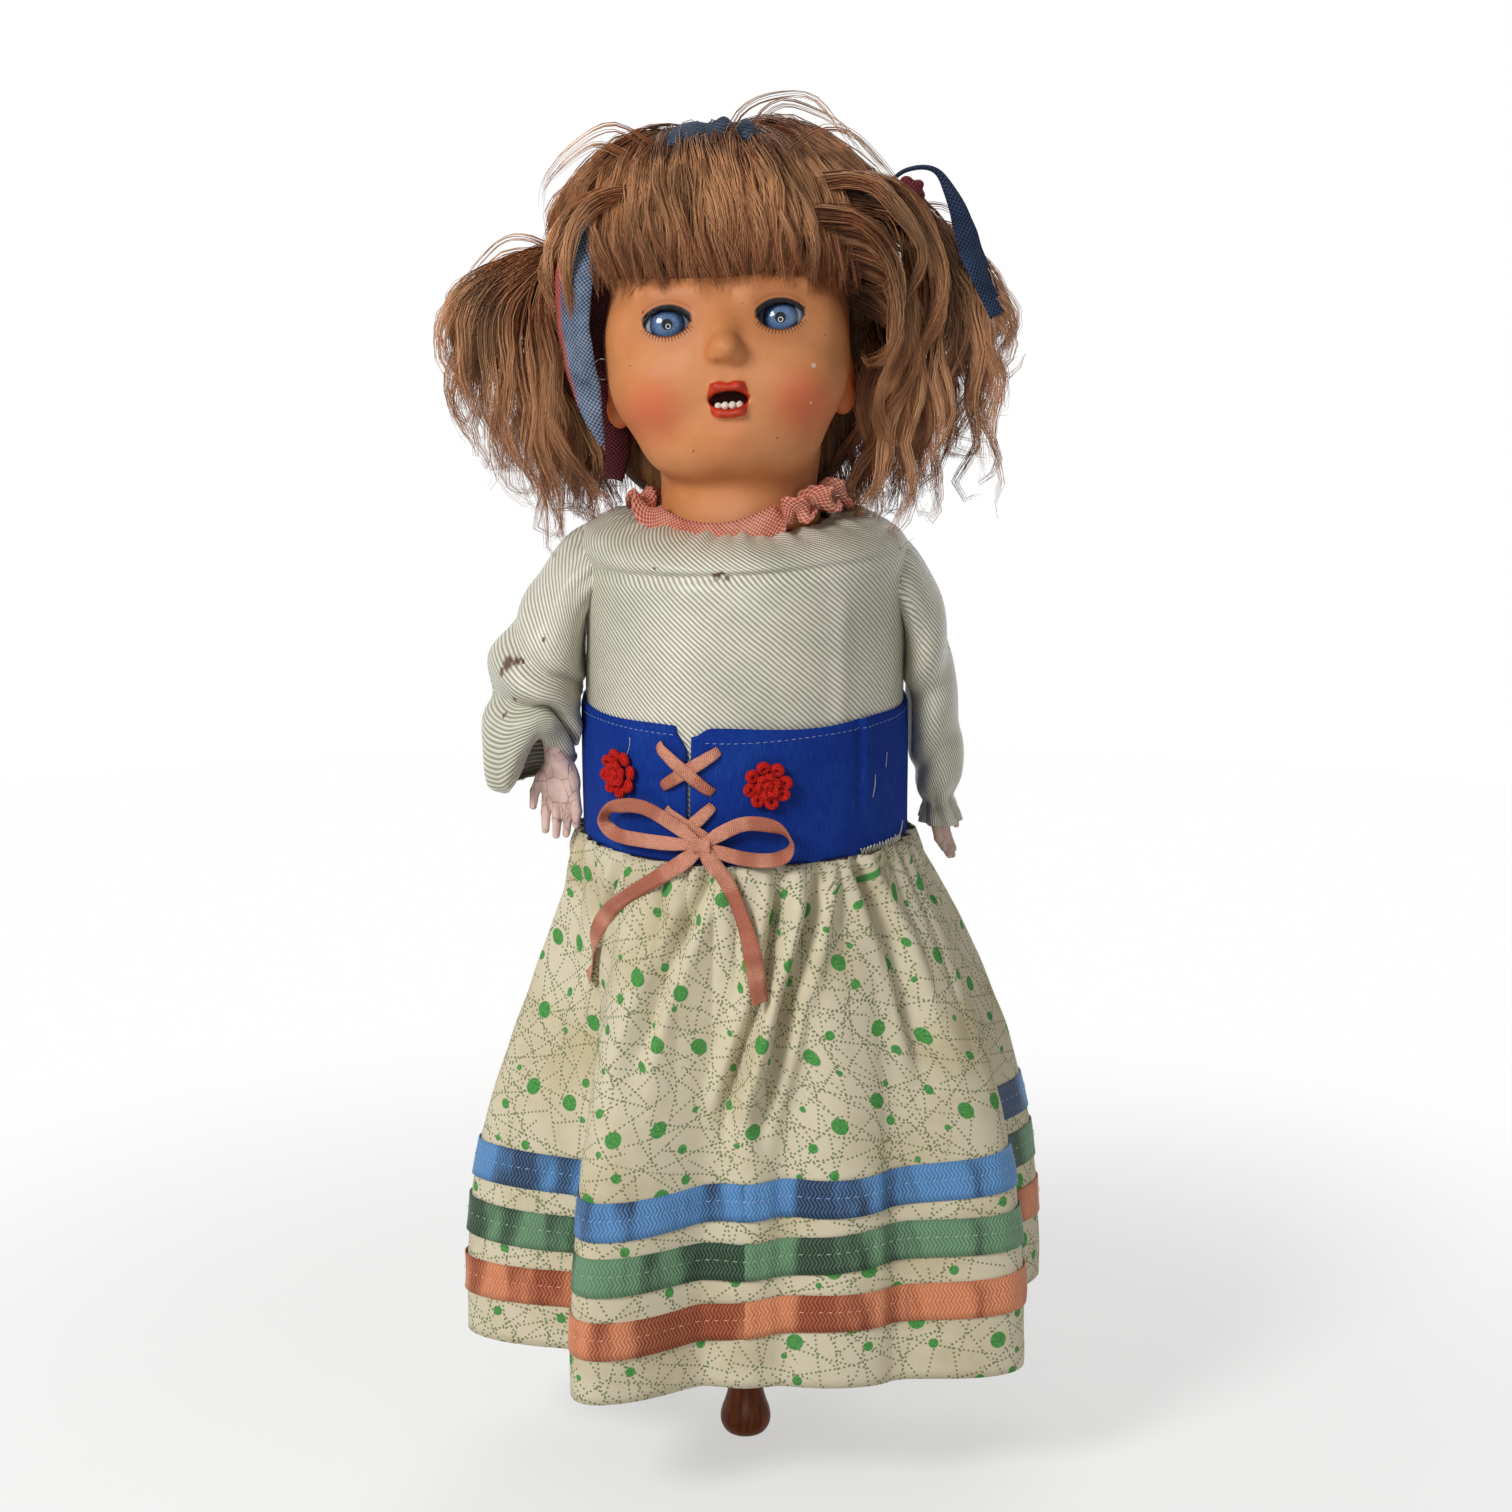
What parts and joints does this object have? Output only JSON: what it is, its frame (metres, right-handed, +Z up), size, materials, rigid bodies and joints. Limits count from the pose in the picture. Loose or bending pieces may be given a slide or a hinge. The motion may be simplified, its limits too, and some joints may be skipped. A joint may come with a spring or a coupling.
{
  "type": "musical marotte doll",
  "caption": "Doll on a turned handle: the drum-shaped body spins on a spindle, whose worm turns a pinned cylinder against a steel comb; sleep eyes, swinging arms, gathered skirt.",
  "frame": {"origin": "centre of the flat foot of the handle's knob, on the spindle's axis", "axes": "+Z up along the spindle, -Y towards the doll's front, +X towards the right of a viewer in front"},
  "size_m": [0.1665, 0.1344, 0.3695],
  "materials": {
    "varnished_wood": "brown varnish, worn",
    "plain_wood": "bare",
    "steel": "drawn",
    "brass": "turned",
    "lead": "cast",
    "card": "pressed card",
    "composition": "painted, satin",
    "hand_paint": "painted, worn",
    "enamel": "gloss",
    "eye_glass": "gloss, painted behind",
    "mouth_cloth": "dark felt",
    "hair": "mohair",
    "sage_twill": "twill silk",
    "royal_cotton": "plain cotton",
    "red_yarn": "crochet",
    "salmon_ribbon": "satin ribbon",
    "dotted_cotton": "printed cotton",
    "blue_ribbon": "satin ribbon",
    "green_ribbon": "satin ribbon",
    "maroon_ribbon": "satin ribbon"
  },
  "bodies": {
    "handle": {"handle": "varnished_wood", "spindle": "steel", "thrust_washer": "brass", "spindle_collar": "steel", "worm": "brass"},
    "doll": {"base_board": "plain_wood", "top_board": "plain_wood", "drum_wall": "card", "spindle_bush": "brass", "cross_bar": "plain_wood", "neck_plug": "plain_wood", "bedplate": "brass", "bearing_left": "brass", "bearing_right": "brass", "comb": "steel", "comb_rest": "brass", "comb_screw_left": "steel", "comb_screw_right": "steel", "blouse": "sage_twill", "belt": "royal_cotton", "lacing_upper": "salmon_ribbon", "lacing_lower": "salmon_ribbon", "flower_left": "red_yarn", "flower_right": "red_yarn", "skirt": "dotted_cotton", "skirt_ribbon_blue": "blue_ribbon", "skirt_ribbon_green": "green_ribbon", "skirt_ribbon_salmon": "salmon_ribbon", "bow": "salmon_ribbon", "neck_ruffle": "salmon_ribbon", "head_shell": "composition", "crown_pate": "card", "mouth_plate": "mouth_cloth", "teeth": "enamel", "wig": "hair", "pigtail_left": "hair", "pigtail_right": "hair", "ribbon_right_knot": "maroon_ribbon", "ribbon_right_blue": "blue_ribbon", "ribbon_top": "blue_ribbon", "ribbon_left_blue": "blue_ribbon", "ribbon_left_maroon": "maroon_ribbon"},
    "cylinder": {"music_cylinder": "brass", "cylinder_arbor": "steel", "worm_wheel": "brass"},
    "eyes": {"eyeball_left": "eye_glass", "eyeball_right": "eye_glass", "eye_rocker": "steel", "eye_weight": "lead"},
    "arm_left": {"arm_wire_left": "steel", "hand_left": "hand_paint", "sleeve_left": "sage_twill"},
    "arm_right": {"arm_wire_right": "steel", "hand_right": "hand_paint", "sleeve_right": "sage_twill"}
  },
  "joints": [
    {"name": "doll_spin", "type": "hinge", "parent": "handle", "child": "doll", "pos_m": [0, 0, 0.175], "axis": [0, 0, 1], "continuous": true},
    {"name": "cylinder_turn", "type": "hinge", "parent": "doll", "child": "cylinder", "pos_m": [0, 0.0165, 0.196], "axis": [1, 0, 0], "continuous": true},
    {"name": "eyes_sleep", "type": "hinge", "parent": "doll", "child": "eyes", "pos_m": [-0.00524, -0.01705, 0.32038], "axis": [0.998, 0, 0.0628], "range_deg": [0, 45]},
    {"name": "arm_left_swing", "type": "hinge", "parent": "doll", "child": "arm_left", "pos_m": [-0.0456, 0, 0.244], "axis": [-1, 0, 0], "range_deg": [-30, 60]},
    {"name": "arm_right_swing", "type": "hinge", "parent": "doll", "child": "arm_right", "pos_m": [0.0456, 0, 0.244], "axis": [-1, 0, 0], "range_deg": [-30, 60]}
  ],
  "couplings": [
    {"joint": "cylinder_turn", "follows": "doll_spin", "ratio": -0.041667}
  ]
}
